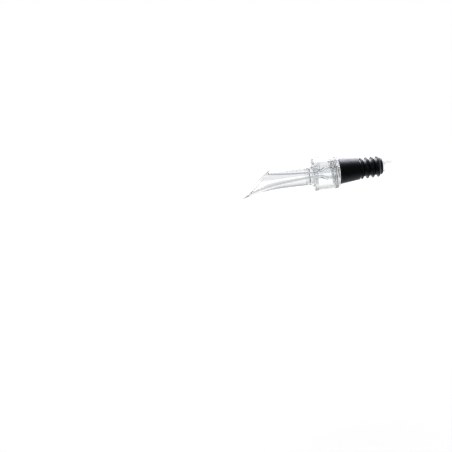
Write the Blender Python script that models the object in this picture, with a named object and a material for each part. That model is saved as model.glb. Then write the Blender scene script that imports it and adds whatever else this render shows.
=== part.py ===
"""A clear pourer that draws air into wine, held in a bottle's neck by its rubber stopper.

Metres, +Z up. The pourer lies along X as it does while pouring: the bottle is towards +X, and
the mouth is towards -X with its long lip down. The origin is on the axis, where the stopper
enters the neck. Outlines are points (x, radius) that are turned about X.
"""

import math

import bmesh
import bpy
from mathutils import Matrix, Vector

# How finely round shapes are divided
TURNED_FACETS = 48
TUBE_FACETS = 16
HORN_STEPS = 16
BELL_STEPS = 8
COVE_STEPS = 6
EDGE_STEPS = 3
BEND_STEPS = 5
SHARP_ANGLE = math.radians(30)

# Clearances
SEAT_GAP = 0.0003  # between pieces that are pressed or bonded together
SWIVEL_GAP = 0.0001  # between the stem and the stopper that it turns in
CUT_OVERRUN = 0.002  # how far a cutter reaches past what it cuts

# Rubber stopper
STOPPER_HEAD_LENGTH = 0.0153  # the part that stands out of the neck
STOPPER_PLUG_LENGTH = 0.024  # the part inside the neck
STOPPER_FACE_RADIUS = 0.0117
STOPPER_MOUTH_RADIUS = 0.0100  # where the taper passes the neck's rim
STOPPER_TAPER_ON = 0.003  # how far the taper goes on inside the neck
STOPPER_CORE_RADIUS = 0.0074  # between the fins
STOPPER_RIM_WIDTH = 0.0013
STOPPER_RIM_HEIGHT = 0.0002
STOPPER_EDGE_ROUND = 0.0005
FIN_COUNT = 4
FIRST_FIN_RADIUS = 0.0097
LAST_FIN_RADIUS = 0.0093
FIN_ROOT_WIDTH = 0.0024
FIN_EDGE_WIDTH = 0.0007
FIN_SWEEP = 0.0009  # each fin's edge leans this far back towards the head
PLUG_END_CHAMFER = 0.0008

# Base with its stem
STEM_RADIUS = 0.0054
STEM_BORE_RADIUS = 0.0042
STEM_REACH = 0.002  # past the stopper's inner end
STEM_CHAMFER = 0.0005
GRIP_RING_SHARES = (0.25, 0.65)  # places along the plug of the stem's rings
GRIP_RING_HEIGHT = 0.0004
GRIP_RING_WIDTH = 0.0018
GRIP_RING_EDGE_WIDTH = 0.0006
CHAMBER_RADIUS = 0.0150
BOSS_RADIUS = 0.0122  # a little wider than the stopper's rim, which bears on it
BOSS_DEPTH = 0.0012
FLANGE_DEPTH = 0.0018
LOCATING_RING_DEPTH = 0.0016
LOCATING_RING_WALL = 0.0012
SOCKET_DEPTH = 0.0020
SOCKET_WALL = 0.0015

# Gasket
GASKET_DEPTH = 0.0006

# Chamber shell
CHAMBER_LENGTH = 0.0228  # from the stopper's face to the chamber's front
CHAMBER_WALL = 0.0024
FRONT_WALL = 0.0026
CHAMBER_EDGE_ROUND = 0.0010
COLLAR_LENGTH = 0.0065
COLLAR_RADIUS = 0.0089
COLLAR_COVE = 0.0032  # how much wider the collar's foot is than its end

# Spout
SPIGOT_RADIUS = 0.0068
SPIGOT_REACH = 0.0007  # past the front wall, into the chamber
WAIST_RADIUS = 0.0086
WAIST_REACH = 0.045  # from the stopper's face
LIP_REACH = 0.0888  # from the stopper's face to the tip of the lower lip
LIP_RADIUS = 0.0143
LIP_WALL = 0.0016
CROWN_REACH = 0.0612  # from the stopper's face to the upper end of the mouth
FLARE_POWER = 2.6
THROAT_RADIUS = 0.0019
HORN_POWERS = (1, 3.5)
HORN_GROWTH_SHARES = (0.3, 0.7)  # of the bore's growth, one for each power

# Venturi nozzle
NOZZLE_BODY_RADIUS = 0.0062
NOZZLE_TIP_RADIUS = 0.0042
NOZZLE_TIP_DEPTH = 0.0026  # inside the spout's spigot
NOZZLE_TAPER_LEAD = 0.0022

# Air inlet tube
AIR_TUBE_RADIUS = 0.0015
AIR_TUBE_BORE = 0.0008
AIR_SOCKET_DEPTH = 0.0012
AIR_TUBE_RECESS = 0.0004  # below the chamber's outer surface

# Vent tube
VENT_TUBE_RADIUS = 0.0011
VENT_TUBE_BORE = 0.0007
VENT_WALL_GAP = 0.00025  # between the tube and the stem's bore
VENT_BEND_RADIUS = 0.0020
VENT_REACH = 0.008  # past the stem's end
VENT_BOSS_WALL = 0.0008
VENT_BOSS_DROP = 0.0032

# Stations along X, from the bottle towards the lip
face_x = -STOPPER_HEAD_LENGTH
plug_end_x = STOPPER_PLUG_LENGTH
stem_end_x = plug_end_x + STEM_REACH
vent_end_x = stem_end_x + VENT_REACH
base_back_x = face_x - SEAT_GAP
flange_back_x = base_back_x - BOSS_DEPTH
flange_front_x = flange_back_x - FLANGE_DEPTH
ring_front_x = flange_front_x - LOCATING_RING_DEPTH
socket_front_x = flange_front_x - SOCKET_DEPTH
gasket_back_x = flange_front_x - SEAT_GAP
gasket_front_x = gasket_back_x - GASKET_DEPTH
shell_back_x = gasket_front_x - SEAT_GAP
chamber_front_x = face_x - CHAMBER_LENGTH
front_wall_inner_x = chamber_front_x + FRONT_WALL
collar_end_x = chamber_front_x - COLLAR_LENGTH
shoulder_x = collar_end_x - SEAT_GAP
spigot_end_x = front_wall_inner_x + SPIGOT_REACH
air_tube_x = spigot_end_x + SEAT_GAP + AIR_TUBE_RADIUS
nozzle_back_x = flange_front_x - SEAT_GAP
nozzle_tip_x = spigot_end_x - NOZZLE_TIP_DEPTH
horn_start_x = nozzle_tip_x - SEAT_GAP
vent_boss_radius = VENT_TUBE_RADIUS + VENT_BOSS_WALL
vent_x = ring_front_x - SEAT_GAP - vent_boss_radius
bell_start_x = vent_x - VENT_TUBE_RADIUS - SEAT_GAP
throat_x = air_tube_x + AIR_TUBE_RADIUS
waist_x = face_x - WAIST_REACH
crown_x = face_x - CROWN_REACH
lip_x = face_x - LIP_REACH

# Radii and heights that follow from the ones above
ring_outer_radius = CHAMBER_RADIUS - CHAMBER_WALL - SEAT_GAP
chamber_bore_radius = CHAMBER_RADIUS - CHAMBER_WALL
collar_bore_radius = SPIGOT_RADIUS + SEAT_GAP
socket_bore_radius = NOZZLE_BODY_RADIUS + SEAT_GAP
vent_z = STEM_BORE_RADIUS - VENT_WALL_GAP - VENT_TUBE_RADIUS
vent_boss_foot_z = chamber_bore_radius - VENT_BOSS_DROP
vent_top_z = vent_boss_foot_z - SEAT_GAP
air_socket_floor_z = NOZZLE_TIP_RADIUS - AIR_SOCKET_DEPTH
air_tube_foot_z = air_socket_floor_z + SEAT_GAP
air_tube_top_z = CHAMBER_RADIUS - AIR_TUBE_RECESS


def clear_scene():
    for old in list(bpy.data.objects):
        bpy.data.objects.remove(old, do_unlink=True)


def clear_acrylic():
    material = bpy.data.materials.new("clear_acrylic")
    material.use_nodes = True
    shader = material.node_tree.nodes["Principled BSDF"]
    shader.inputs["Base Color"].default_value = (0.93, 0.95, 0.97, 1)
    shader.inputs["Roughness"].default_value = 0.03
    shader.inputs["IOR"].default_value = 1.49
    shader.inputs["Transmission Weight"].default_value = 1
    return material


def clear_silicone():
    material = bpy.data.materials.new("clear_silicone")
    material.use_nodes = True
    shader = material.node_tree.nodes["Principled BSDF"]
    shader.inputs["Base Color"].default_value = (0.90, 0.91, 0.92, 1)
    shader.inputs["Roughness"].default_value = 0.35
    shader.inputs["IOR"].default_value = 1.41
    shader.inputs["Transmission Weight"].default_value = 0.6
    return material


def black_rubber():
    material = bpy.data.materials.new("black_rubber")
    material.use_nodes = True
    shader = material.node_tree.nodes["Principled BSDF"]
    shader.inputs["Base Color"].default_value = (0.012, 0.012, 0.014, 1)
    shader.inputs["Roughness"].default_value = 0.42
    shader.inputs["Metallic"].default_value = 0
    return material


def object_from(name, mesh_data, material=None, parent=None):
    """An object of this bmesh, shaded smooth but for its sharp edges."""
    bmesh.ops.recalc_face_normals(mesh_data, faces=mesh_data.faces)
    mesh = bpy.data.meshes.new(name)
    mesh_data.to_mesh(mesh)
    mesh_data.free()
    mesh.shade_smooth()
    mesh.set_sharp_from_angle(angle=SHARP_ANGLE)
    made = bpy.data.objects.new(name, mesh)
    made.parent = parent
    if material:
        mesh.materials.append(material)
    bpy.context.scene.collection.objects.link(made)
    return made


def turned(name, outline, material=None, parent=None):
    """A closed outline of points (x, radius), turned about X."""
    mesh_data = bmesh.new()
    points = [mesh_data.verts.new((x, 0, radius)) for x, radius in outline]
    edges = [mesh_data.edges.new(pair) for pair in zip(points, points[1:] + points[:1])]
    bmesh.ops.spin(
        mesh_data,
        geom=points + edges,
        cent=(0, 0, 0),
        axis=(1, 0, 0),
        angle=math.tau,
        steps=TURNED_FACETS,
        use_merge=True,
    )
    return object_from(name, mesh_data, material, parent)


def piped(name, route, outer_radius, bore_radius, material, parent):
    """A tube with an open bore along a route in the XZ plane, cut square at both ends."""
    mesh_data = bmesh.new()
    rings = []
    for index, point in enumerate(route):
        before = route[max(index - 1, 0)]
        after = route[min(index + 1, len(route) - 1)]
        along = (after - before).normalized()
        side = Vector((0, 1, 0))
        up = along.cross(side)
        for radius in (outer_radius, bore_radius):
            turns = [math.tau * step / TUBE_FACETS for step in range(TUBE_FACETS)]
            rings.append([
                mesh_data.verts.new(point + radius * (math.cos(turn) * side + math.sin(turn) * up))
                for turn in turns
            ])
    outer, bore = rings[0::2], rings[1::2]
    strips = list(zip(outer, outer[1:])) + list(zip(bore, bore[1:]))
    strips += [(outer[0], bore[0]), (outer[-1], bore[-1])]
    for one, other in strips:
        for step in range(TUBE_FACETS):
            after = (step + 1) % TUBE_FACETS
            mesh_data.faces.new((one[step], one[after], other[after], other[step]))
    return object_from(name, mesh_data, material, parent)


def upright_rod(name, x, foot_z, top_z, radius):
    """A hidden round bar along Z, used to add or to cut."""
    mesh_data = bmesh.new()
    bmesh.ops.create_cone(
        mesh_data,
        cap_ends=True,
        segments=TUBE_FACETS,
        radius1=radius,
        radius2=radius,
        depth=top_z - foot_z,
        matrix=Matrix.Translation((x, 0, (foot_z + top_z) / 2)),
    )
    return as_tool(object_from(name, mesh_data))


def as_tool(helper):
    helper.hide_render = True
    helper.display_type = "WIRE"
    return helper


def combine(target, helper, operation):
    step = target.modifiers.new(helper.name, "BOOLEAN")
    step.operation = operation
    step.solver = "EXACT"
    step.object = helper


def arc(center_x, center_radius, radius, start, stop, steps=EDGE_STEPS):
    """Points on an arc in the outline's plane. Angles are in degrees from +X towards +radius."""
    turns = [math.radians(start + (stop - start) * step / steps) for step in range(steps + 1)]
    return [
        (center_x + radius * math.cos(turn), center_radius + radius * math.sin(turn))
        for turn in turns
    ]


def fin(root_x, edge_radius):
    """A sealing fin: wide at its root, thin and leaning back towards the head at its edge."""
    edge_x = root_x - FIN_SWEEP
    return [
        (root_x - FIN_ROOT_WIDTH / 2, STOPPER_CORE_RADIUS),
        (edge_x - FIN_EDGE_WIDTH / 2, edge_radius),
        (edge_x + FIN_EDGE_WIDTH / 2, edge_radius),
        (root_x + FIN_ROOT_WIDTH / 2, STOPPER_CORE_RADIUS),
    ]


def grip_rings(foot_radius, clearance):
    """The rings round the stem, or with a clearance the grooves for them, from the bottle's end."""
    foot = GRIP_RING_WIDTH / 2 + clearance
    edge = GRIP_RING_EDGE_WIDTH / 2 + clearance
    top_radius = foot_radius + GRIP_RING_HEIGHT
    points = []
    for share in reversed(GRIP_RING_SHARES):
        x = plug_end_x * share
        points += [(x + foot, foot_radius), (x + edge, top_radius)]
        points += [(x - edge, top_radius), (x - foot, foot_radius)]
    return points


def make_stopper(material, parent):
    """The tapered head with its rim, the finned plug, and the bore that grips the stem."""
    bore = STEM_RADIUS + SWIVEL_GAP
    slope = (STOPPER_FACE_RADIUS - STOPPER_MOUTH_RADIUS) / STOPPER_HEAD_LENGTH
    rim_radius = STOPPER_FACE_RADIUS + STOPPER_RIM_HEIGHT
    taper_end_radius = STOPPER_MOUTH_RADIUS - slope * STOPPER_TAPER_ON
    rim_end_x = face_x + STOPPER_RIM_WIDTH
    round_x = face_x + STOPPER_EDGE_ROUND

    outline = [(face_x, bore)]
    outline += arc(round_x, rim_radius - STOPPER_EDGE_ROUND, STOPPER_EDGE_ROUND, 180, 90)
    outline += [(rim_end_x - STOPPER_RIM_HEIGHT, rim_radius)]
    outline += [(rim_end_x, STOPPER_FACE_RADIUS - slope * STOPPER_RIM_WIDTH)]
    outline += [(STOPPER_TAPER_ON, taper_end_radius)]
    outline += [(STOPPER_TAPER_ON + FIN_EDGE_WIDTH, STOPPER_CORE_RADIUS)]

    first_x = STOPPER_TAPER_ON + FIN_EDGE_WIDTH + FIN_ROOT_WIDTH
    last_x = plug_end_x - PLUG_END_CHAMFER - FIN_ROOT_WIDTH
    for index in range(FIN_COUNT):
        share = index / max(FIN_COUNT - 1, 1)
        edge_radius = FIRST_FIN_RADIUS + share * (LAST_FIN_RADIUS - FIRST_FIN_RADIUS)
        outline += fin(first_x + share * (last_x - first_x), edge_radius)
    outline += [(plug_end_x - PLUG_END_CHAMFER, STOPPER_CORE_RADIUS)]
    outline += [(plug_end_x, STOPPER_CORE_RADIUS - PLUG_END_CHAMFER)]
    outline += [(plug_end_x, bore)]
    outline += grip_rings(bore, SWIVEL_GAP)
    return turned("stopper", outline, material, parent)


def make_base(material, parent):
    """The disc that closes the chamber, with the stem behind it and two rings in front."""
    edge = FLANGE_DEPTH / 4
    outline = [
        (stem_end_x, STEM_BORE_RADIUS),
        (stem_end_x, STEM_RADIUS - STEM_CHAMFER),
        (stem_end_x - STEM_CHAMFER, STEM_RADIUS),
    ]
    outline += grip_rings(STEM_RADIUS, 0)
    outline += [
        (base_back_x, STEM_RADIUS),
        (base_back_x, BOSS_RADIUS),
        (flange_back_x, BOSS_RADIUS),
    ]
    outline += arc(flange_back_x - edge, CHAMBER_RADIUS - edge, edge, 0, 90)
    outline += [
        (flange_front_x, CHAMBER_RADIUS),
        (flange_front_x, ring_outer_radius),
        (ring_front_x, ring_outer_radius),
        (ring_front_x, ring_outer_radius - LOCATING_RING_WALL),
        (flange_front_x, ring_outer_radius - LOCATING_RING_WALL),
        (flange_front_x, socket_bore_radius + SOCKET_WALL),
        (socket_front_x, socket_bore_radius + SOCKET_WALL),
        (socket_front_x, socket_bore_radius),
        (flange_front_x, socket_bore_radius),
        (flange_front_x, STEM_BORE_RADIUS),
    ]
    return turned("chamber_base", outline, material, parent)


def make_gasket(material, parent):
    """The flat ring between the base's disc and the shell's rim."""
    inner = ring_outer_radius + SEAT_GAP
    outer = CHAMBER_RADIUS - SEAT_GAP
    outline = [
        (gasket_back_x, inner),
        (gasket_back_x, outer),
        (gasket_front_x, outer),
        (gasket_front_x, inner),
    ]
    return turned("base_gasket", outline, material, parent)


def collar_cove():
    """The collar's outside, a hollow quarter curve from its end to its foot on the front wall."""
    turns = [math.pi / 2 * step / COVE_STEPS for step in range(COVE_STEPS + 1)]
    return [
        (
            collar_end_x + COLLAR_LENGTH * math.sin(turn),
            COLLAR_RADIUS + COLLAR_COVE * (1 - math.cos(turn)),
        )
        for turn in turns
    ]


def make_shell(material, parent):
    """The cup: a round wall, a flat front with the collar for the spout, and two holes on top."""
    edge = CHAMBER_EDGE_ROUND
    outline = [(shell_back_x, chamber_bore_radius)]
    outline += arc(front_wall_inner_x + edge / 2, chamber_bore_radius - edge / 2, edge / 2, 90, 180)
    outline += [
        (front_wall_inner_x, collar_bore_radius),
        (collar_end_x, collar_bore_radius),
    ]
    outline += collar_cove()
    outline += arc(chamber_front_x + edge, CHAMBER_RADIUS - edge, edge, 180, 90)
    outline += [(shell_back_x, CHAMBER_RADIUS)]
    shell = turned("chamber_shell", outline, material, parent)

    past_wall = CHAMBER_RADIUS + CUT_OVERRUN
    mid_wall = CHAMBER_RADIUS - CHAMBER_WALL / 2
    boss = upright_rod("vent_boss", vent_x, vent_boss_foot_z, mid_wall, vent_boss_radius)
    combine(shell, boss, "UNION")
    vent_foot = vent_boss_foot_z - CUT_OVERRUN
    vent_hole = upright_rod("vent_hole", vent_x, vent_foot, past_wall, VENT_TUBE_BORE)
    combine(shell, vent_hole, "DIFFERENCE")
    air_foot = chamber_bore_radius - CUT_OVERRUN
    air_radius = AIR_TUBE_RADIUS + SEAT_GAP
    air_hole = upright_rod("air_hole", air_tube_x, air_foot, past_wall, air_radius)
    combine(shell, air_hole, "DIFFERENCE")
    return shell


def bore_radius_at(x):
    """The spout's bore: the throat's radius, growing gently at first and fast at the lip."""
    share = (horn_start_x - x) / (horn_start_x - lip_x)
    growth = sum(part * share**power for part, power in zip(HORN_GROWTH_SHARES, HORN_POWERS))
    return THROAT_RADIUS + (LIP_RADIUS - LIP_WALL - THROAT_RADIUS) * growth


def outer_radius_at(x):
    """The spout's outside: from the collar's radius in to the waist, then flaring to the lip."""
    if x > waist_x:
        share = (x - waist_x) / (shoulder_x - waist_x)
        return WAIST_RADIUS + (COLLAR_RADIUS - WAIST_RADIUS) * share**2
    share = (waist_x - x) / (waist_x - lip_x)
    return WAIST_RADIUS + (LIP_RADIUS - WAIST_RADIUS) * share**FLARE_POWER


def stations(start_x, stop_x, steps):
    """Places from start_x to stop_x, both of them exact."""
    shares = [step / steps for step in range(steps + 1)]
    return [start_x * (1 - share) + stop_x * share for share in shares]


def mouth_cutter():
    """A block whose lower face is the plane of the mouth, from the crown down to the lip's tip."""
    crown = Vector((crown_x, 0, outer_radius_at(crown_x)))
    lip = Vector((lip_x, 0, -LIP_RADIUS))
    along = (lip - crown).normalized()
    away = Vector((0, 1, 0)).cross(along)
    size = 2 * (lip - crown).length
    place = Matrix((along, (0, 1, 0), away)).transposed().to_4x4()
    place.translation = (crown + lip) / 2 + away * size / 2
    mesh_data = bmesh.new()
    bmesh.ops.create_cube(mesh_data, size=size, matrix=place)
    return as_tool(object_from("mouth_cutter", mesh_data))


def make_spout(material, parent):
    """The horn, with the spigot that the collar holds and the counterbore for the nozzle."""
    counterbore = NOZZLE_TIP_RADIUS + SEAT_GAP
    end_x = lip_x - CUT_OVERRUN
    outline = [(x, bore_radius_at(x)) for x in stations(end_x, horn_start_x, HORN_STEPS)]
    outline += [
        (horn_start_x, counterbore),
        (spigot_end_x, counterbore),
        (spigot_end_x, SPIGOT_RADIUS),
        (shoulder_x, SPIGOT_RADIUS),
    ]
    outline += [(x, outer_radius_at(x)) for x in stations(shoulder_x, end_x, HORN_STEPS)]
    spout = turned("spout", outline, material, parent)
    combine(spout, mouth_cutter(), "DIFFERENCE")
    return spout


def make_nozzle(material, parent):
    """The piece that narrows the stream to its throat, with a socket for the air tube."""
    outline = [(nozzle_back_x, STEM_BORE_RADIUS)]
    for x in stations(bell_start_x, throat_x, BELL_STEPS):
        share = (bell_start_x - x) / (bell_start_x - throat_x)
        narrowing = (1 + math.cos(math.pi * share)) / 2
        outline += [(x, THROAT_RADIUS + (STEM_BORE_RADIUS - THROAT_RADIUS) * narrowing)]
    outline += [
        (nozzle_tip_x, THROAT_RADIUS),
        (nozzle_tip_x, NOZZLE_TIP_RADIUS),
        (throat_x, NOZZLE_TIP_RADIUS),
        (bell_start_x - NOZZLE_TAPER_LEAD, NOZZLE_BODY_RADIUS),
        (nozzle_back_x, NOZZLE_BODY_RADIUS),
    ]
    nozzle = turned("venturi_nozzle", outline, material, parent)

    past_body = NOZZLE_BODY_RADIUS + CUT_OVERRUN
    leg_radius = VENT_TUBE_RADIUS + SEAT_GAP
    leg_hole = upright_rod("vent_leg_hole", vent_x, vent_z, past_body, leg_radius)
    combine(nozzle, leg_hole, "DIFFERENCE")
    socket_radius = AIR_TUBE_RADIUS + SEAT_GAP
    socket = upright_rod("air_socket", air_tube_x, air_socket_floor_z, past_body, socket_radius)
    combine(nozzle, socket, "DIFFERENCE")
    port = upright_rod("air_port", air_tube_x, 0, past_body, AIR_TUBE_BORE)
    combine(nozzle, port, "DIFFERENCE")
    return nozzle


def make_air_tube(material, parent):
    """The straight tube from the chamber's top to the throat."""
    route = [Vector((air_tube_x, 0, air_tube_top_z)), Vector((air_tube_x, 0, air_tube_foot_z))]
    return piped("air_inlet_tube", route, AIR_TUBE_RADIUS, AIR_TUBE_BORE, material, parent)


def make_vent_tube(material, parent):
    """The bent tube from the boss under the vent hole, through the stem and into the bottle."""
    center = Vector((vent_x + VENT_BEND_RADIUS, 0, vent_z + VENT_BEND_RADIUS))
    turns = [math.pi / 2 * step / BEND_STEPS for step in range(BEND_STEPS + 1)]
    route = [Vector((vent_x, 0, vent_top_z))]
    route += [
        center + VENT_BEND_RADIUS * Vector((-math.cos(turn), 0, -math.sin(turn)))
        for turn in turns
    ]
    route += [Vector((vent_end_x, 0, vent_z))]
    return piped("vent_tube", route, VENT_TUBE_RADIUS, VENT_TUBE_BORE, material, parent)


def build():
    clear_scene()
    pourer = bpy.data.objects.new("pourer", None)
    bpy.context.scene.collection.objects.link(pourer)
    acrylic = clear_acrylic()
    make_stopper(black_rubber(), None)
    make_base(acrylic, pourer)
    make_gasket(clear_silicone(), pourer)
    make_shell(acrylic, pourer)
    make_spout(acrylic, pourer)
    make_nozzle(acrylic, pourer)
    make_air_tube(acrylic, pourer)
    make_vent_tube(acrylic, pourer)


build()
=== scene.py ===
"""A clear pourer that draws air into wine, with the rubber stopper that holds it in a bottle.

The pourer lies along X, with the bottle towards +X, its mouth towards -X and its air holes up.
Lengths are in metres. Each section below makes one piece, from the stopper outwards to the spout.
"""

import math

import bmesh
import bpy
import numpy as np
from mathutils import Matrix, Vector


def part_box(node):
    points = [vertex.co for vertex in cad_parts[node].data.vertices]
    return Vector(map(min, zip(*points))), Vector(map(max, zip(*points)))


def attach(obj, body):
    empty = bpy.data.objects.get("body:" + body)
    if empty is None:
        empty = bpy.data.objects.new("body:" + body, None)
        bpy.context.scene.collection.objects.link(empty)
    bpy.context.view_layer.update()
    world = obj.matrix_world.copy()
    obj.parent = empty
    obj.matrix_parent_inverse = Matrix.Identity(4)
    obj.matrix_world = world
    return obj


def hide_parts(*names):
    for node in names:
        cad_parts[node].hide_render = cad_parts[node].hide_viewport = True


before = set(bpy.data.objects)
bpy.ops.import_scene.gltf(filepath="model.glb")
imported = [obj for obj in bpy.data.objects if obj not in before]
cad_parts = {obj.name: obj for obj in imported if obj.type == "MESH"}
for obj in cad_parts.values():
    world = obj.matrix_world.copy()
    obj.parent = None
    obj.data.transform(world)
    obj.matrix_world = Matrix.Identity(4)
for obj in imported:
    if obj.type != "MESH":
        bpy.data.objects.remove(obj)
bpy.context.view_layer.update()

# ------------------------------------------------------------------------------ rubber stopper
# One moulding of soft black rubber: a tapered head with a raised rim, and a plug whose four thin
# fins sweep back towards the head, the way they bend as it is pushed into a neck. It is stretched
# over the base's stem, which can turn in it.

COLUMNS = 192  # quads round every turned piece
ARC_STEPS = 5  # quads across every softened edge
SUPPORT = 0.3  # how far past its arc an edge has one more ring, as a share of the arc's reach


def rounded(corners, radii):
    """Softens the corners of closed outlines of points (x, radius), all of one length.

    With c a corner, b and a the unit ways from it to its neighbours, and w the sine of half the
    angle between them, the arc runs from c + d b to c + d a, with d = radius * cot(half angle), as
    ((1-t)^2 (c + d b) + 2 w t (1-t) c + t^2 (c + d a)) / ((1-t)^2 + 2 w t (1-t) + t^2).
    A corner of radius 0 stays one point. d is at most 0.42 of either side.
    """
    corners = np.asarray(corners, float)
    radii = np.broadcast_to(np.asarray(radii, float), corners.shape[:-1])
    back = np.roll(corners, 1, -2) - corners
    ahead = np.roll(corners, -1, -2) - corners
    back_length = np.linalg.norm(back, axis=-1, keepdims=True)
    ahead_length = np.linalg.norm(ahead, axis=-1, keepdims=True)
    back, ahead = back / back_length, ahead / ahead_length
    half = np.arccos(np.clip((back * ahead).sum(-1, keepdims=True), -1, 1)) / 2
    weight = np.sin(half)[..., None, :]
    reach = radii[..., None] / np.tan(half)
    reach = np.minimum(reach, 0.42 * np.minimum(back_length, ahead_length))[..., None, :]
    t = np.linspace(0, 1, ARC_STEPS + 1)[:, None]
    start = corners[..., None, :] + reach * back[..., None, :]
    stop = corners[..., None, :] + reach * ahead[..., None, :]
    middle = weight * corners[..., None, :]
    top = (1 - t) ** 2 * start + 2 * t * (1 - t) * middle + t**2 * stop
    arcs = top / ((1 - t) ** 2 + 2 * t * (1 - t) * weight + t**2)
    before = start + SUPPORT * reach * back[..., None, :]
    after = stop + SUPPORT * reach * ahead[..., None, :]
    arcs = np.concatenate([before, arcs, after], -2)
    kept = (radii.reshape(-1, radii.shape[-1])[0] > 0)[:, None] | (np.arange(ARC_STEPS + 3) == 0)
    arcs = arcs[..., kept, :]
    plain = np.cumsum(kept.sum(1)) - kept.sum(1)
    single = kept.sum(1) == 1
    arcs[..., plain[single], :] = corners[..., single, :]
    return arcs


def turned(outline, columns=COLUMNS):
    """Turns outlines of points (x, radius) about X.

    Row i and column j go to (x, r sin a, r cos a) with a = 2 pi j / columns. One outline serves
    all columns, or each has its own.
    """
    angle = np.linspace(0, 2 * np.pi, columns, endpoint=False)
    outline = np.broadcast_to(outline, (columns, *outline.shape[-2:]))
    x, radius = outline[..., 0].T, outline[..., 1].T
    return np.stack([x, radius * np.sin(angle), radius * np.cos(angle)], -1)


def strips(loops):
    """The quads between each closed loop of vertex numbers and the next one."""
    one, other = loops[:-1], loops[1:]
    quads = [one, np.roll(one, -1, 1), np.roll(other, -1, 1), other]
    return np.stack(quads, -1)


def closed_grid(rows, columns):
    """The quads of a grid that joins up in both directions, kept as rows x columns x 4."""
    numbers = np.arange(rows * columns).reshape(rows, columns)
    return strips(np.concatenate([numbers, numbers[:1]]))


def add_piece(name, node, body, material, points, quads):
    """A piece that stands for a node of the model, from points and the quads between them."""
    points, quads = points.reshape(-1, 3), quads.reshape(-1, 4)
    used, quads = np.unique(quads, return_inverse=True)
    points, quads = points[used], quads.reshape(-1, 4)
    mesh = bpy.data.meshes.new(name)
    mesh.vertices.add(len(points))
    mesh.vertices.foreach_set("co", points.ravel())
    mesh.loops.add(quads.size)
    mesh.loops.foreach_set("vertex_index", quads.ravel())
    mesh.polygons.add(len(quads))
    mesh.polygons.foreach_set("loop_start", np.arange(0, quads.size, 4))
    mesh.update(calc_edges=True)
    mesh.validate()
    checked = bmesh.new()
    checked.from_mesh(mesh)
    bmesh.ops.recalc_face_normals(checked, faces=checked.faces)
    checked.to_mesh(mesh)
    checked.free()
    mesh.shade_smooth()
    mesh.materials.append(material)
    made = bpy.data.objects.new(name, mesh)
    bpy.context.scene.collection.objects.link(made)
    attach(made, body)
    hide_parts(node)
    return made


def node_tree(name):
    """A new material, its tree, its shader and the point on the object that patterns follow."""
    material = bpy.data.materials.new(name)
    material.use_nodes = True
    tree = material.node_tree
    place = tree.nodes.new("ShaderNodeTexCoord").outputs["Object"]
    return material, tree, tree.nodes["Principled BSDF"], place


def noise(tree, place, scale, detail=2.0, roughness=0.5, stretch=None):
    """Noise of about scale grains a metre, stretched by the given factors along X, Y and Z."""
    if stretch:
        mapping = tree.nodes.new("ShaderNodeMapping")
        mapping.inputs["Scale"].default_value = stretch
        tree.links.new(place, mapping.inputs["Vector"])
        place = mapping.outputs["Vector"]
    made = tree.nodes.new("ShaderNodeTexNoise")
    made.inputs["Scale"].default_value = scale
    made.inputs["Detail"].default_value = detail
    made.inputs["Roughness"].default_value = roughness
    tree.links.new(place, made.inputs["Vector"])
    return made.outputs["Fac"]


def spread(tree, value, low, high, start=0.3, stop=0.7):
    """Carries a value between start and stop to one between low and high, numbers or colours."""
    if isinstance(low, tuple):
        ramp = tree.nodes.new("ShaderNodeValToRGB")
        for end, position, colour in zip(ramp.color_ramp.elements, (start, stop), (low, high)):
            end.position, end.color = position, (*colour, 1)
        tree.links.new(value, ramp.inputs["Fac"])
        return ramp.outputs["Color"]
    carried = tree.nodes.new("ShaderNodeMapRange")
    ends = {"From Min": start, "From Max": stop, "To Min": low, "To Max": high}
    for socket, number in ends.items():
        carried.inputs[socket].default_value = number
    tree.links.new(value, carried.inputs["Value"])
    return carried.outputs["Result"]


def calculated(tree, operation, *values):
    """One step of arithmetic on sockets and numbers."""
    step = tree.nodes.new("ShaderNodeMath")
    step.operation = operation
    for socket, value in zip(step.inputs, values):
        if isinstance(value, (int, float)):
            socket.default_value = value
        else:
            tree.links.new(value, socket)
    return step.outputs["Value"]


def bumped(tree, shader, height, distance, strength=1.0):
    """Lets a height pattern tilt the surface: distance is its depth in metres."""
    bump = tree.nodes.new("ShaderNodeBump")
    bump.inputs["Distance"].default_value = distance
    bump.inputs["Strength"].default_value = strength
    tree.links.new(height, bump.inputs["Height"])
    tree.links.new(bump.outputs["Normal"], shader.inputs["Normal"])


def satin_rubber():
    """Black rubber: a fine moulded grain, duller patches, a little dust and the mould's line."""
    material, tree, shader, place = node_tree("satin_rubber")
    grain = noise(tree, place, 5200, detail=3)
    patches = noise(tree, place, 260, detail=4, roughness=0.6)
    dust = noise(tree, place, 2600, detail=4, roughness=0.75)
    colour = spread(tree, dust, (0.0010, 0.0010, 0.0015), (0.016, 0.016, 0.018), 0.56, 0.74)
    tree.links.new(colour, shader.inputs["Base Color"])
    roughness = spread(tree, patches, 0.34, 0.48)
    tree.links.new(roughness, shader.inputs["Roughness"])
    split = tree.nodes.new("ShaderNodeSeparateXYZ")
    tree.links.new(place, split.inputs["Vector"])
    off_line = calculated(tree, "ABSOLUTE", split.outputs["Y"])
    line_core, line_edge, line_height = 0.00002, 0.00012, 2.5
    line = spread(tree, off_line, 1.0, 0.0, line_core, line_edge)
    height = calculated(tree, "MULTIPLY_ADD", line, line_height, grain)
    bumped(tree, shader, height, 0.00003)
    shader.inputs["Specular IOR Level"].default_value = 0.65
    shader.inputs["Specular Tint"].default_value = (0.78, 0.83, 1.0, 1)
    shader.inputs["IOR"].default_value = 1.52
    return material


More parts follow.
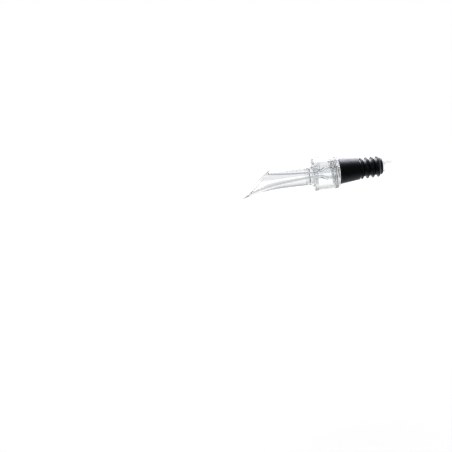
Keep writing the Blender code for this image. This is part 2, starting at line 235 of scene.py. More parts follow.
stopper_low, stopper_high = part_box("stopper")
face_x, plug_end_x, rim_radius = stopper_low.x, stopper_high.x, stopper_high.z
rim_height, rim_width = 0.0002, 0.0013
face_radius = 0.0117  # where the head starts, under its rim
mouth_radius = 0.0100  # where the head passes the neck's rim
taper = (face_radius - mouth_radius) / -face_x
taper_on = 0.003  # how far the taper goes on inside the neck
core_radius = 0.0074
stopper_bore = 0.0055
fin_count, first_fin_radius, last_fin_radius = 4, 0.0097, 0.0093
fin_edge, fin_root, fin_sweep = 0.0007, 0.0024, 0.0009
end_chamfer = 0.0008
ring_shares = np.array([0.65, 0.25])  # of the plug's length, where the stem's rings sit
ring_places = plug_end_x * ring_shares
ring_foot, ring_edge, ring_height = 0.0009, 0.0003, 0.0004
ring_clearance = 0.0001

first_fin_x, last_fin_x = taper_on + fin_edge + fin_root, plug_end_x - end_chamfer - fin_root
fin_x = np.linspace(first_fin_x, last_fin_x, fin_count)
fin_radius = np.linspace(first_fin_radius, last_fin_radius, fin_count)
fins = np.stack([
    [fin_x - fin_root / 2, np.full(fin_count, core_radius)],
    [fin_x - fin_sweep - fin_edge / 2, fin_radius],
    [fin_x - fin_sweep + fin_edge / 2, fin_radius],
    [fin_x + fin_root / 2, np.full(fin_count, core_radius)],
]).transpose(2, 0, 1).reshape(-1, 2)


def stem_rings(radius, clearance):
    """Each ring's four corners on a stem or in its bore, from the bottle's end."""
    foot, edge = ring_foot + clearance, ring_edge + clearance
    offsets = np.array([[foot, 0], [edge, ring_height], [-edge, ring_height], [-foot, 0]])
    places = np.stack([ring_places, np.full(len(ring_places), radius)], -1)
    return (places[:, None] + offsets).reshape(-1, 2)


head = [
    (face_x, stopper_bore),
    (face_x, rim_radius),
    (face_x + rim_width - rim_height, rim_radius),
    (face_x + rim_width, face_radius - taper * rim_width),
    (taper_on, mouth_radius - taper * taper_on),
    (taper_on + fin_edge, core_radius),
]
plug_end = [
    (plug_end_x - end_chamfer, core_radius),
    (plug_end_x, core_radius - end_chamfer),
    (plug_end_x, stopper_bore),
]
stem_grooves = stem_rings(stopper_bore, ring_clearance)
stopper_outline = np.concatenate([head, fins, plug_end, stem_grooves])
stopper_softness = np.concatenate([  # the radius of each corner of the outline, in its order
    [0.0003, 0.0005, 0.0002, 0.0003, 0.0003, 0.0004],
    np.tile([0.0005, 0.00025, 0.00025, 0.0005], fin_count),
    [0.0003, 0.0003, 0.0003],
    np.full(len(stem_grooves), 0.0001),
])
stopper_points = turned(rounded(stopper_outline, stopper_softness))
add_piece(
    "rubber_stopper", "stopper", "stopper", satin_rubber(),
    stopper_points, closed_grid(*stopper_points.shape[:2]),
)

# ------------------------------------------------------------------------------ base with its stem
# The disc that closes the chamber, moulded in clear acrylic in one piece with the hollow stem that
# the stopper grips. Its outer ring centres the shell, and its inner ring is the nozzle's socket.


def polished_acrylic():
    """Clear acrylic: a cool cast, moulding waves too low to feel, and hairline wiping scratches."""
    material, tree, shader, place = node_tree("polished_acrylic")
    waves = noise(tree, place, 80, detail=1)
    scratches = noise(tree, place, 900, detail=5, roughness=0.7, stretch=(0.25, 2.2, 2.2))
    haze = noise(tree, place, 90, detail=3)
    colour = spread(tree, haze, (0.970, 0.978, 0.985), (0.980, 0.986, 0.991))
    tree.links.new(colour, shader.inputs["Base Color"])
    roughness = spread(tree, scratches, 0.008, 0.05, 0.35, 0.8)
    tree.links.new(roughness, shader.inputs["Roughness"])
    bumped(tree, shader, waves, 0.00008, 0.08)
    shader.inputs["IOR"].default_value = 1.49
    shader.inputs["Transmission Weight"].default_value = 1.0
    return material


acrylic = polished_acrylic()
seat = 0.00005  # left between pieces that are pressed or bonded together
model_gap = 0.0003  # what the plain model leaves there
base_low, base_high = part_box("chamber_base")
chamber_radius = base_high.z
stem_end_x, socket_front_x = base_high.x, base_low.x
stem_radius, stem_bore = 0.0054, 0.0042
boss_radius, flange_back_x, flange_front_x = 0.0122, -0.0168, -0.0186
base_back_x = face_x - seat
locating_radius, locating_wall, locating_front_x = 0.0126 - seat, 0.0012, -0.0202
nozzle_radius, socket_wall = 0.0062, 0.0015
socket_bore = nozzle_radius + seat

grip_rings = stem_rings(stem_radius, 0)
base_outline = np.concatenate([
    [(stem_end_x, stem_bore), (stem_end_x, stem_radius)],
    grip_rings,
    [
        (base_back_x, stem_radius),
        (base_back_x, boss_radius),
        (flange_back_x, boss_radius),
        (flange_back_x, chamber_radius),
        (flange_front_x, chamber_radius),
        (flange_front_x, locating_radius),
        (locating_front_x, locating_radius),
        (locating_front_x, locating_radius - locating_wall),
        (flange_front_x, locating_radius - locating_wall),
        (flange_front_x, socket_bore + socket_wall),
        (socket_front_x, socket_bore + socket_wall),
        (socket_front_x, socket_bore),
        (flange_front_x, socket_bore),
        (flange_front_x, stem_bore),
    ],
])
base_softness = np.concatenate([
    [0.0002, 0.0005],
    np.full(len(grip_rings), 0.00015),
    [0.0002, 0.0003, 0.0003, 0.00045, 0.0002, 0.0001, 0.0002, 0.0002, 0.0003, 0.0003],
    [0.0002, 0.0002, 0.0001, 0.0002],
])
base_points = turned(rounded(base_outline, base_softness))
add_piece(
    "clear_base", "chamber_base", "pourer", acrylic,
    base_points, closed_grid(*base_points.shape[:2]),
)

# ------------------------------------------------------------------------------ vent tube
# A thin clear tube bent once. Its short leg stands under the vent hole of the chamber, and its long
# leg lies along the top of the stem's bore into the bottle, to let air in as wine runs out.

TUBE_COLUMNS = 40
TUBE_EDGE_SHARE = 0.3  # softness of a tube's ends, as a share of its wall
vent_low, vent_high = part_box("vent_tube")
vent_radius, vent_bore, vent_bend = 0.0011, 0.0007, 0.0020
vent_x = vent_low.x + vent_radius
vent_z = vent_low.z + vent_radius
vent_foot_z = vent_high.z + model_gap  # of the boss that it stands in
vent_top_z = vent_foot_z - seat
vent_leg = vent_top_z - vent_z - vent_bend
vent_length = vent_leg + vent_bend * math.pi / 2 + vent_high.x - vent_x - vent_bend


def bent_tube(top, leg, bend, length, radius, bore, stations):
    """A tube down from top for leg, round a quarter turn of radius bend, and on along +X.

    Its profile of points (s, r) is a rectangle with soft corners, s being the way along the middle.
    With f = (s - leg) / bend held between 0 and a quarter turn, the middle is at
    x = top.x + bend (1 - cos f) + rest, z = top.z - min(s, leg) - bend sin f, and the ring round it
    is r (cos a * Y + sin a * (cos f, 0, sin f)).
    """
    inside = stations[::-1]
    profile = np.concatenate([
        [(0, bore), (0, radius)],
        np.stack([stations, np.full(len(stations), radius)], -1),
        [(length, radius), (length, bore)],
        np.stack([inside, np.full(len(inside), bore)], -1),
    ])
    soft, plain = np.full(2, (radius - bore) * TUBE_EDGE_SHARE), np.zeros(len(stations))
    s, r = rounded(profile, np.concatenate([soft, plain, soft, plain])).T
    f = np.clip((s - leg) / bend, 0, math.pi / 2)
    rest = np.maximum(s - leg - bend * math.pi / 2, 0)
    x = top[0] + bend * (1 - np.cos(f)) + rest
    z = top[2] - np.minimum(s, leg) - bend * np.sin(f)
    angle = np.linspace(0, 2 * np.pi, TUBE_COLUMNS, endpoint=False)
    across = r[:, None] * np.sin(angle)
    return np.stack([
        x[:, None] + across * np.cos(f)[:, None],
        top[1] + r[:, None] * np.cos(angle),
        z[:, None] + across * np.sin(f)[:, None],
    ], -1)


bend_rings, straight_rings = 13, 24
bend_stations = vent_leg + vent_bend * np.linspace(0, math.pi / 2, bend_rings)
long_stations = np.linspace(bend_stations[-1], vent_length, straight_rings)[1:-1]
vent_points = bent_tube(
    (vent_x, 0, vent_top_z), vent_leg, vent_bend, vent_length, vent_radius, vent_bore,
    np.concatenate([[vent_leg / 2], bend_stations, long_stations]),
)
add_piece(
    "clear_vent_tube", "vent_tube", "pourer", acrylic,
    vent_points, closed_grid(*vent_points.shape[:2]),
)

# ------------------------------------------------------------------------------ venturi nozzle
# A clear acrylic moulding pressed into the base's socket. Its bore narrows in a smooth bell to the
# throat, where a side port from the air tube's socket lets air in. The vent tube goes in through
# a hole of its own.

nozzle_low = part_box("venturi_nozzle")[0]
nozzle_back_x, nozzle_tip_x = flange_front_x - seat, nozzle_low.x
tip_radius, throat_radius = 0.0042, 0.0019
bell_start_x = vent_x - vent_radius - model_gap
throat_x = -0.0315
taper_lag = 0.0022  # how much later than the bell the outside starts to narrow
taper_start_x = bell_start_x - taper_lag
air_low, air_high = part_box("air_inlet_tube")
air_radius, air_bore = air_high.y, 0.0008
air_x = (air_low.x + air_high.x) / 2
air_floor_z = air_low.z - model_gap


def square_ring(half):
    """The steps (p, q) round a square of half that many steps either way, in order."""
    side, far = np.arange(-half, half), np.full(2 * half, half)
    return np.concatenate([-far, side, far, -side]), np.concatenate([side, far, -side, -far])


def opened(points, quads, row, place_x, radius, half, reach, surface):
    """Opens a round hole at the top of a turned grid, about vertex (row, column 0).

    A vertex (p, q) steps from the hole's middle, p towards +X whichever way the rows run, with
    m = max(|p|, |q|) and h = hypot(p, q), has the point (place_x + radius p/h, radius q/h) on the
    hole's edge. Vertices with m = half move in to that point, and those on out to m = reach lie
    between it and their old place, at the square of (m - half) / (reach - half) of the way.
    Nothing folds over, as the ring m = half lies at or outside the hole's edge to start with.
    Their height is sqrt(surface(x)^2 - y^2). Quads inside are struck out of quads.
    The answer is the edge's vertex numbers, in order round the hole.
    """
    columns = points.shape[1]
    way = 1 if points[row + 1, 0, 0] > points[row - 1, 0, 0] else -1
    p, q = np.meshgrid(np.arange(-reach, reach + 1), np.arange(-reach, reach + 1), indexing="ij")
    steps, spokes = np.maximum(abs(p), abs(q)), np.maximum(np.hypot(p, q), 1)
    share = np.clip((steps - half) / (reach - half), 0, 1) ** 2
    at = (row + way * p, q % columns)
    x = (1 - share) * (place_x + radius * p / spokes) + share * points[at][..., 0]
    y = (1 - share) * (radius * q / spokes) + share * points[at][..., 1]
    points[at] = np.stack([x, y, np.sqrt(np.maximum(surface(x) ** 2 - y**2, 0))], -1)
    inner = np.arange(-half, half)
    quads[np.ix_(row + inner, inner % columns)] = -1
    round_p, round_q = square_ring(half)
    return (row + way * round_p) * columns + round_q % columns


def well(place_x, half, radii, heights):
    """Rings of a round well, from the top down, each with its radius and height.

    With (p, q) from square_ring and h = hypot(p, q), a ring's points are (place_x + radius p/h,
    radius q/h) at its height z: a number, or for a pair (surface, depth) the place on the turned
    surface, sqrt(surface(x)^2 - y^2), less the depth.
    """
    p, q = square_ring(half)
    spokes = np.hypot(p, q)
    rings = []
    for radius, height in zip(radii, heights):
        x, y = place_x + radius * p / spokes, radius * q / spokes
        if isinstance(height, tuple):
            height = np.sqrt(height[0](x) ** 2 - y**2) - height[1]
        rings.append(np.stack([x, y, np.broadcast_to(height, x.shape)], -1))
    return np.array(rings)


def add_well(points, quads, outer_loop, rings, inner_loop):
    """Joins a well's rings to the edges of the two holes that it runs between."""
    numbers = len(points) + np.arange(rings.shape[0] * rings.shape[1]).reshape(rings.shape[:2])
    loops = np.concatenate([outer_loop[None], numbers, inner_loop[None]])
    return (
        np.concatenate([points, rings.reshape(-1, 3)]),
        np.concatenate([quads, strips(loops).reshape(-1, 4)]),
    )


def nozzle_outside(x):
    """The nozzle's outer radius: its body, a straight taper, and its tip."""
    return np.interp(x, [throat_x, taper_start_x], [tip_radius, nozzle_radius])


def nozzle_inside(x):
    """The bore: the stem's radius, a half cosine down to the throat's, and the throat."""
    share = np.clip((bell_start_x - x) / (bell_start_x - throat_x), 0, 1)
    return throat_radius + (stem_bore - throat_radius) * (1 + np.cos(np.pi * share)) / 2


def rows_through(*stops):
    """Stations that run through the given (place, quads up to it) stops, evenly between them."""
    places = [stops[0][0]]
    for (start, _), (stop, count) in zip(stops, stops[1:]):
        places.extend(np.linspace(start, stop, count + 1)[1:])
    return np.array(places)


arc_rows = ARC_STEPS + 3  # of a softened corner
hole_edge = 0.00015  # softness of the small holes' edges
hole_ring = SUPPORT * hole_edge
leg_radius = vent_radius + seat
air_socket = air_radius + seat
leg_half, leg_reach = 10, 14  # quads of the patch round the vent tube's hole
port_half, port_reach = 18, 24  # and round the port and the air tube's socket
end_room = 0.0006  # left for the corners at both ends
leg_span_in, leg_span_out = 0.0021, 0.0028  # of the patches, each way from the hole's middle
port_span, socket_span = 0.0016, 0.0027
inside_x = rows_through(
    (nozzle_back_x - end_room, 0), (vent_x + leg_span_in, 3), (vent_x, leg_reach),
    (vent_x - leg_span_in, leg_reach), (air_x + port_span, 24), (air_x, port_reach),
    (air_x - port_span, port_reach), (nozzle_tip_x + end_room, 6),
)
outside_x = rows_through(
    (nozzle_tip_x + end_room, 0), (air_x - socket_span, 2), (air_x, port_reach),
    (air_x + socket_span, port_reach), (vent_x - leg_span_out, 10), (vent_x, leg_reach),
    (vent_x + leg_span_out, leg_reach), (nozzle_back_x - end_room, 1),
)
nozzle_outline = np.concatenate([
    [(nozzle_back_x, stem_bore)],
    np.stack([inside_x, nozzle_inside(inside_x)], -1),
    [(nozzle_tip_x, throat_radius), (nozzle_tip_x, tip_radius)],
    np.stack([outside_x, nozzle_outside(outside_x)], -1),
    [(nozzle_back_x, nozzle_radius)],
])
nozzle_softness = np.concatenate([
    [0.0002], np.zeros(len(inside_x)), [0.0002, 0.0003], np.zeros(len(outside_x)), [0.0003]
])
nozzle_outline = rounded(nozzle_outline, nozzle_softness)
nozzle_points = turned(nozzle_outline)
nozzle_quads = closed_grid(*nozzle_points.shape[:2])
inside_row = arc_rows  # the first row of inside_x in the outline
outside_row = 3 * arc_rows + len(inside_x)  # and of outside_x


def row_of(stations, first_row, place):
    """The grid's row that lies at a place, among stations that start at first_row."""
    return first_row + int(np.argmin(abs(stations - place)))


leg_in = opened(
    nozzle_points, nozzle_quads, row_of(inside_x, inside_row, vent_x), vent_x,
    leg_radius + hole_edge, leg_half, leg_reach, nozzle_inside,
)
leg_out = opened(
    nozzle_points, nozzle_quads, row_of(outside_x, outside_row, vent_x), vent_x,
    leg_radius + hole_edge, leg_half, leg_reach, nozzle_outside,
)
port_in = opened(
    nozzle_points, nozzle_quads, row_of(inside_x, inside_row, air_x), air_x,
    air_bore + hole_edge, port_half, port_reach, nozzle_inside,
)
socket_out = opened(
    nozzle_points, nozzle_quads, row_of(outside_x, outside_row, air_x), air_x,
    air_socket + hole_edge, port_half, port_reach, nozzle_outside,
)
nozzle_quads = nozzle_quads[nozzle_quads[..., 0] >= 0]
nozzle_points = nozzle_points.reshape(-1, 3)
leg_rings = well(
    vent_x, leg_half,
    [leg_radius + hole_ring, leg_radius, leg_radius, leg_radius + hole_ring],
    [(nozzle_outside, hole_ring), (nozzle_outside, hole_edge),
     (nozzle_inside, -hole_edge), (nozzle_inside, -hole_ring)],
)
nozzle_points, nozzle_quads = add_well(nozzle_points, nozzle_quads, leg_out, leg_rings, leg_in)
port_rings = well(
    air_x, port_half,
    [air_socket + hole_ring, air_socket, air_socket, air_socket - hole_edge,
     air_bore + hole_edge, air_bore, air_bore, air_bore + hole_ring],
    [(nozzle_outside, hole_ring), (nozzle_outside, hole_edge), air_floor_z + hole_edge,
     air_floor_z, air_floor_z, air_floor_z - hole_edge,
     (nozzle_inside, -hole_edge), (nozzle_inside, -hole_ring)],
)
nozzle_points, nozzle_quads = add_well(nozzle_points, nozzle_quads, socket_out, port_rings, port_in)
add_piece(
    "clear_nozzle", "venturi_nozzle", "pourer", acrylic,
    nozzle_points, nozzle_quads,
)

# ------------------------------------------------------------------------------ gasket
# A thin ring of milky silicone between the base's disc and the shell's rim, with softened
# edges. It keeps the chamber dry on the outside.


def milky_silicone():
    """Translucent silicone: a soft cloudy body, a fine matt grain and a few duller flecks."""
    material, tree, shader, place = node_tree("milky_silicone")
    clouds = noise(tree, place, 700, detail=3)
    grain = noise(tree, place, 7000, detail=2)
    colour = spread(tree, clouds, (0.80, 0.82, 0.84), (0.90, 0.91, 0.92))
    tree.links.new(colour, shader.inputs["Base Color"])
    tree.links.new(spread(tree, clouds, 0.28, 0.42), shader.inputs["Roughness"])
    bumped(tree, shader, grain, 0.00001)
    shader.inputs["IOR"].default_value = 1.41
    shader.inputs["Transmission Weight"].default_value = 0.75
    return material


gasket_back_x, gasket_front_x = flange_front_x - seat, -0.0195
gasket_inset = 0.0003  # of its outer edge from the chamber's
gasket_inner, gasket_outer = locating_radius + seat, chamber_radius - gasket_inset
gasket_corners = [
    (gasket_back_x, gasket_inner), (gasket_back_x, gasket_outer),
    (gasket_front_x, gasket_outer), (gasket_front_x, gasket_inner),
]
gasket_points = turned(rounded(gasket_corners, [0.0001, 0.0003, 0.0003, 0.0001]))
add_piece(
    "silicone_gasket", "base_gasket", "pourer", milky_silicone(),
    gasket_points, closed_grid(*gasket_points.shape[:2]),
)

# ------------------------------------------------------------------------------ chamber shell
# The clear acrylic cup round the nozzle. Its flat front swells into the collar that holds the
# spout, and its top has the air tube's hole and the vent hole, with a boss under it for the tube.

shell_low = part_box("chamber_shell")[0]
collar_end_x = shell_low.x
shell_back_x = gasket_front_x - seat
chamber_bore = 0.0126
chamber_front_x, front_inner_x = -0.0381, -0.0355
collar_radius, collar_cove, spigot_radius = 0.0089, 0.0032, 0.0068
collar_bore = spigot_radius + seat
collar_length = chamber_front_x - collar_end_x
vent_boss_wall = 0.0008
vent_boss_radius = vent_radius + vent_boss_wall
shell_edge, inner_edge = 0.0010, 0.0005


def chamber_inside(x):
    """The chamber's bore, the same all along."""
    return np.full_like(x, chamber_bore)


def chamber_outside(x):
    """The chamber's outer radius, the same all along."""
    return np.full_like(x, chamber_radius)


cove_steps = 24
cove_turn = np.linspace(0, np.pi / 2, cove_steps + 1)[1:]
cove = np.stack([
    collar_end_x + collar_length * np.sin(cove_turn),
    collar_radius + collar_cove * (1 - np.cos(cove_turn)),
], -1)
corner_room = 1.5  # left for a soft corner, in times its radius
skin_end_room, lining_end_room = 0.0005, 0.0004  # left at the rim towards the base
vent_span, air_span_out, air_span_in = 0.0021, 0.0033, 0.0019
skin_x = rows_through(
    (chamber_front_x + corner_room * shell_edge, 0), (air_x, 10), (air_x + air_span_out, 10),
    (vent_x - vent_span, 12), (vent_x, 8), (vent_x + vent_span, 8),
    (shell_back_x - skin_end_room, 1),
)
lining_x = rows_through(
    (shell_back_x - lining_end_room, 0), (vent_x + vent_span, 2), (vent_x, 6),
    (vent_x - vent_span, 6), (air_x + air_span_in, 14), (air_x, 6),
    (front_inner_x + corner_room * inner_edge, 6),
)
shell_outline = np.concatenate([
    [(shell_back_x, chamber_radius), (shell_back_x, chamber_bore)],
    np.stack([lining_x, chamber_inside(lining_x)], -1),
    [(front_inner_x, chamber_bore), (front_inner_x, collar_bore)],
    [(collar_end_x, collar_bore), (collar_end_x, collar_radius)],
    cove,
    [(chamber_front_x, chamber_radius)],
    np.stack([skin_x, chamber_outside(skin_x)], -1),
])
shell_softness = np.concatenate([
    [0.0003, 0.0002], np.zeros(len(lining_x)), [inner_edge, 0.0002, 0.0002, 0.0003],
    np.zeros(len(cove)), [shell_edge], np.zeros(len(skin_x)),
])
shell_points = turned(rounded(shell_outline, shell_softness))
shell_quads = closed_grid(*shell_points.shape[:2])
lining_row = 2 * arc_rows
skin_row = 7 * arc_rows + len(lining_x) + len(cove)
shell_hole = 0.0002  # softness of the two holes' outer edges
shell_ring = SUPPORT * shell_hole
shell_half = 6  # quads from the middle of each hole to its edge
hole_radius = air_radius + seat
vent_out = opened(
    shell_points, shell_quads, row_of(skin_x, skin_row, vent_x), vent_x,
    vent_bore + shell_hole, shell_half, reach=8, surface=chamber_outside,
)
air_out = opened(
    shell_points, shell_quads, row_of(skin_x, skin_row, air_x), air_x,
    hole_radius + shell_hole, shell_half, reach=9, surface=chamber_outside,
)
boss_in = opened(
    shell_points, shell_quads, row_of(lining_x, lining_row, vent_x), vent_x,
    vent_boss_radius + shell_hole, shell_half, reach=8, surface=chamber_inside,
)
air_in = opened(
    shell_points, shell_quads, row_of(lining_x, lining_row, air_x), air_x,
    hole_radius + hole_edge, shell_half, reach=7, surface=chamber_inside,
)
shell_quads = shell_quads[shell_quads[..., 0] >= 0]
shell_points = shell_points.reshape(-1, 3)
vent_rings = well(
    vent_x, shell_half,
    [vent_bore + shell_ring, vent_bore, vent_bore, vent_bore + hole_edge,
     vent_boss_radius - hole_edge, vent_boss_radius, vent_boss_radius,
     vent_boss_radius + shell_ring],
    [(chamber_outside, shell_ring), (chamber_outside, shell_hole), vent_foot_z + hole_edge,
     vent_foot_z, vent_foot_z, vent_foot_z + hole_edge,
     (chamber_inside, shell_hole), (chamber_inside, shell_ring)],
)
shell_points, shell_quads = add_well(shell_points, shell_quads, vent_out, vent_rings, boss_in)
air_rings = well(
    air_x, shell_half,
    [hole_radius + shell_ring, hole_radius, hole_radius, hole_radius + hole_ring],
    [(chamber_outside, shell_ring), (chamber_outside, shell_hole),
     (chamber_inside, -hole_edge), (chamber_inside, -hole_ring)],
)
shell_points, shell_quads = add_well(shell_points, shell_quads, air_out, air_rings, air_in)
add_piece(
    "clear_shell", "chamber_shell", "pourer", acrylic,
    shell_points, shell_quads,
)

# ------------------------------------------------------------------------------ air inlet tube
# A straight clear tube pressed through the shell's top into the nozzle's side. The stream in the
# throat draws air down through it.

air_top_z, air_foot_z = air_high.z, air_floor_z + seat
air_length = air_top_z - air_foot_z
air_tube_rings = 12
air_points = bent_tube(
    (air_x, 0, air_top_z), 2 * air_length, air_radius, air_length, air_radius, air_bore,
    np.linspace(0, air_length, air_tube_rings)[1:-1],
)
add_piece(
    "clear_air_tube", "air_inlet_tube", "pourer", acrylic,
    air_points, closed_grid(*air_points.shape[:2]),
)

# ------------------------------------------------------------------------------ spout
# The horn, turned from thick clear acrylic: a trumpet bore in a gently waisted body that flares to
# a thin lip, cut off by one oblique plane and polished. Its spigot is bonded into the collar.

spout_low, spout_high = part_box("spout")
lip_x, spigot_end_x = spout_low.x, spout_high.x
horn_start_x = nozzle_tip_x - seat
shoulder_x = collar_end_x - seat
waist_reach, crown_reach = 0.045, 0.0612  # from the stopper's face
waist_x, waist_radius = face_x - waist_reach, 0.0086
crown_x = face_x - crown_reach  # where the mouth's cut starts, on top
lip_radius, lip_wall = 0.0143, 0.0016
counterbore = tip_radius + seat
HORN_COLUMNS = 288  # finer than the rest, as its lip is seen through its own far wall


def horn_bore(x):
    """The trumpet: throat + growth (0.3 t + 0.7 t^3.5), with t 0 at the nozzle and 1 at the lip."""
    t = np.clip((horn_start_x - x) / (horn_start_x - lip_x), 0, 1)
    return throat_radius + (lip_radius - lip_wall - throat_radius) * (0.3 * t + 0.7 * t**3.5)


def horn_skin(x):
    """The outside: from the collar in to the waist as t^2, then out to the lip as t^2.6."""
    in_to = np.clip((x - waist_x) / (shoulder_x - waist_x), 0, 1)
    out_to = np.clip((waist_x - x) / (waist_x - lip_x), 0, 1)
    grown = (collar_radius - waist_radius) * in_to**2 + (lip_radius - waist_radius) * out_to**2.6
    return waist_radius + grown


crown_z = float(horn_skin(np.array(crown_x)))
mouth_slope = (crown_z + lip_radius) / (crown_x - lip_x)
horn_angle = np.linspace(0, 2 * np.pi, HORN_COLUMNS, endpoint=False)


def mouth_edge(surface):
    """Where each column of a turned surface meets the mouth's plane, by 50 halvings."""
    cut, kept = np.full(HORN_COLUMNS, lip_x), np.full(HORN_COLUMNS, shoulder_x)
    for _ in range(50):
        middle = (cut + kept) / 2
        plane_z = crown_z + mouth_slope * (middle - crown_x)
        beyond = surface(middle) * np.cos(horn_angle) > plane_z
        cut, kept = np.where(beyond, middle, cut), np.where(beyond, kept, middle)
    return kept


skin_edge_x, bore_edge_x = mouth_edge(horn_skin), mouth_edge(horn_bore)
ways = np.linspace(0, 1, 96)  # shares of the way along each column
horn_skin_x = shoulder_x + (skin_edge_x[:, None] - shoulder_x) * ways
horn_bore_x = bore_edge_x[:, None] + (horn_start_x - bore_edge_x[:, None]) * ways
spigot = np.array([
    (horn_start_x, counterbore), (spigot_end_x, counterbore),
    (spigot_end_x, spigot_radius), (shoulder_x, spigot_radius),
])
horn_outline = np.concatenate([
    np.stack([horn_skin_x, horn_skin(horn_skin_x)], -1),
    np.stack([horn_bore_x, horn_bore(horn_bore_x)], -1),
    np.broadcast_to(spigot, (HORN_COLUMNS, 4, 2)),
], 1)
plain_ways = np.zeros(len(ways) - 2)
horn_softness = np.concatenate([
    [0.0003], plain_ways, [0.00012], [0.0003], plain_ways, [0.0002],
    [0.0001, 0.0002, 0.0003, 0.0001],
])
horn_points = turned(rounded(horn_outline, horn_softness), HORN_COLUMNS)
add_piece(
    "clear_spout", "spout", "pourer", acrylic,
    horn_points, closed_grid(*horn_points.shape[:2]),
)

# ------------------------------------------------------------------------------ room and camera
# A plain pale floor far below, a white surround that greys overhead and underfoot so that clear
# edges draw themselves as soft grey lines, and broad soft lamps. In reflections the floor and
# surround carry painted shade towards the front, and in reflections and through clear parts the
# floor's glow has painted shade beneath the object.

floor_z, floor_half = -0.165, 3.0
floor_mesh = bpy.data.meshes.new("floor")
floor_corners = [(-1, -1), (1, -1), (1, 1), (-1, 1)]
floor_mesh.from_pydata(
    [(floor_half * x, floor_half * y, floor_z) for x, y in floor_corners], [], [(0, 1, 2, 3)]
)
floor = bpy.data.objects.new("floor", floor_mesh)
bpy.context.scene.collection.objects.link(floor)


def seen_directly(tree):
    """1 for rays from the camera, or by way of a glossy or clear surface, and 0 for the rest."""
    path = tree.nodes.new("ShaderNodeLightPath")
    mirrored = calculated(
        tree, "MAXIMUM", path.outputs["Is Camera Ray"], path.outputs["Is Glossy Ray"]
    )
    return calculated(tree, "MAXIMUM", mirrored, path.outputs["Is Transmission Ray"])


def painted_front_shade(tree, depth, near, far):
    """1, but down to 0.03 from far to near for rays off a glossy surface: painted shade towards the
    front, seen only in reflections.
    """
    dark = spread(tree, depth, 0.97, 0.0, near, far)
    path = tree.nodes.new("ShaderNodeLightPath")
    hidden = calculated(tree, "MULTIPLY", dark, path.outputs["Is Glossy Ray"])
    return calculated(tree, "SUBTRACT", 1.0, hidden)


def shaded(tree, factor, colour):
    """The colour times the factor."""
    mixed = tree.nodes.new("ShaderNodeMix")
    mixed.data_type = "RGBA"
    mixed.inputs[6].default_value = (0.0, 0.0, 0.0, 1)
    tree.links.new(factor, mixed.inputs["Factor"])
    tree.links.new(colour, mixed.inputs[7])
    return mixed.outputs[2]


floor_material, floor_tree, floor_shader, floor_place = node_tree("pale_floor")
floor_shader.inputs["Roughness"].default_value = 0.9
floor_mottle = noise(floor_tree, floor_place, 3, detail=2)
floor_split = floor_tree.nodes.new("ShaderNodeSeparateXYZ")
floor_tree.links.new(floor_place, floor_split.inputs["Vector"])
# painted shade: for glossy rays only, the floor's colour is darkened towards the front, down to
# 0.03
floor_painted_front_shade = painted_front_shade(floor_tree, floor_split.outputs["Y"], -0.20, 0.06)
floor_colour = spread(floor_tree, floor_mottle, (0.27, 0.27, 0.27), (0.29, 0.29, 0.29))
floor_tree.links.new(
    shaded(floor_tree, floor_painted_front_shade, floor_colour), floor_shader.inputs["Base Color"]
)
floor_shader.inputs["Specular IOR Level"].default_value = 0.0
floor_shader.inputs["Emission Color"].default_value = (1, 1, 1, 1)
floor_path = floor_tree.nodes.new("ShaderNodeLightPath")
floor_length = floor_tree.nodes.new("ShaderNodeVectorMath")
floor_length.operation = "LENGTH"
floor_tree.links.new(floor_place, floor_length.inputs[0])
# painted shade: the floor's glow seen in reflections and through clear parts is dimmed to 0.15
# beneath the object, full from 0.6 m out
floor_glow_painted_dim_below = spread(floor_tree, floor_length.outputs["Value"], 0.15, 0.80, 0.20, 0.60)
floor_mirrored = calculated(
    floor_tree, "MAXIMUM",
    calculated(floor_tree, "MULTIPLY", floor_path.outputs["Is Glossy Ray"], floor_painted_front_shade),
    floor_path.outputs["Is Transmission Ray"],
)
floor_reflected_glow_with_painted_shade = calculated(floor_tree, "MULTIPLY", floor_glow_painted_dim_below, floor_mirrored)
floor_open = spread(floor_tree, floor_length.outputs["Value"], 0.62, 0.89, 0.70, 1.20)
floor_plain = calculated(floor_tree, "MULTIPLY", floor_path.outputs["Is Camera Ray"], floor_open)
floor_glow = calculated(floor_tree, "MAXIMUM", floor_reflected_glow_with_painted_shade, floor_plain)
floor_tree.links.new(floor_glow, floor_shader.inputs["Emission Strength"])
floor_mesh.materials.append(floor_material)

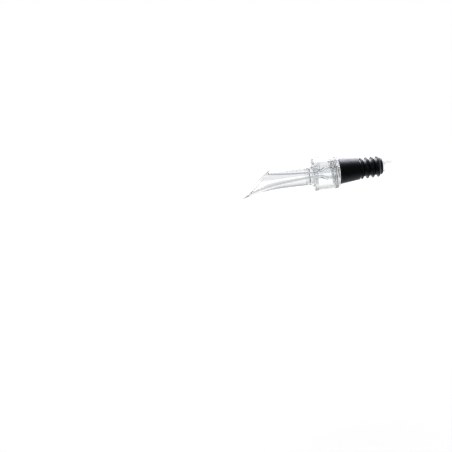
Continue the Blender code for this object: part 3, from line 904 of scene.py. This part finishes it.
world = bpy.data.worlds.new("studio")
bpy.context.scene.world = world
world.use_nodes = True
world_tree = world.node_tree
surround = world_tree.nodes["Background"]
world_place = world_tree.nodes.new("ShaderNodeTexCoord").outputs["Generated"]
world_split = world_tree.nodes.new("ShaderNodeSeparateXYZ")
world_tree.links.new(world_place, world_split.inputs["Vector"])
steepness = calculated(world_tree, "ABSOLUTE", world_split.outputs["Z"])
shown = spread(world_tree, steepness, (1.0, 1.0, 1.0), (0.30, 0.33, 0.38), 0.30, 0.90)
# painted shade: for glossy rays only, the surround is darkened towards the front
world_painted_front_shade = painted_front_shade(world_tree, world_split.outputs["Y"], -0.15, 0.35)
chosen = world_tree.nodes.new("ShaderNodeMix")
chosen.data_type = "RGBA"
world_tree.links.new(seen_directly(world_tree), chosen.inputs["Factor"])
chosen.inputs[6].default_value = (0.45, 0.45, 0.45, 1)
world_tree.links.new(shaded(world_tree, world_painted_front_shade, shown), chosen.inputs[7])
world_tree.links.new(chosen.outputs[2], surround.inputs["Color"])


def add_lamp(name, place, target, size, power):
    """A square soft lamp at a place, facing a target."""
    lamp = bpy.data.lights.new(name, "AREA")
    lamp.shape, lamp.size, lamp.energy = "SQUARE", size, power
    made = bpy.data.objects.new(name, lamp)
    made.location = place
    facing = Vector(target) - Vector(place)
    made.rotation_euler = facing.to_track_quat("-Z", "Y").to_euler()
    made.visible_camera = made.visible_transmission = False
    bpy.context.scene.collection.objects.link(made)


add_lamp("overhead_lamp", (0.0, 0.35, 0.70), (0, 0, 0), 0.6, 8.5)
add_lamp("back_lamp", (-0.05, 0.75, 0.45), (0, 0, 0), 0.5, 6.0)
add_lamp("front_lamp", (-0.45, -0.75, 0.25), (0, 0, 0), 0.4, 1.0)

# The camera looks a little down. The pourer slopes in its view, mouth lower, so the camera is
# turned by that slope about Y instead.
slope_angle, look_down = math.radians(7.4), math.radians(13)
eye_side, eye_drop, eye_distance = -0.1169, 0.05135, 0.568
eye_offset = Vector((eye_side, 0, 0))
eye_offset -= eye_drop * Vector((0, math.sin(look_down), math.cos(look_down)))
eye_offset -= eye_distance * Vector((0, math.cos(look_down), -math.sin(look_down)))
slope = Matrix.Rotation(slope_angle, 4, "Y")
camera_data = bpy.data.cameras.new("camera")
camera_data.lens, camera_data.sensor_width = 50, 36
camera_data.clip_start = 0.01
camera = bpy.data.objects.new("camera", camera_data)
upright = Matrix.Rotation(math.radians(90) - look_down, 4, "X")
camera.matrix_world = slope @ Matrix.Translation(eye_offset) @ upright
bpy.context.scene.collection.objects.link(camera)
bpy.context.scene.camera = camera
bpy.context.scene.view_settings.view_transform = "Standard"
crossings = 40  # a ray may cross this many clear surfaces, as the mouth's rim needs
light_paths = bpy.context.scene.cycles
light_paths.max_bounces = crossings
light_paths.transmission_bounces = light_paths.glossy_bounces = crossings
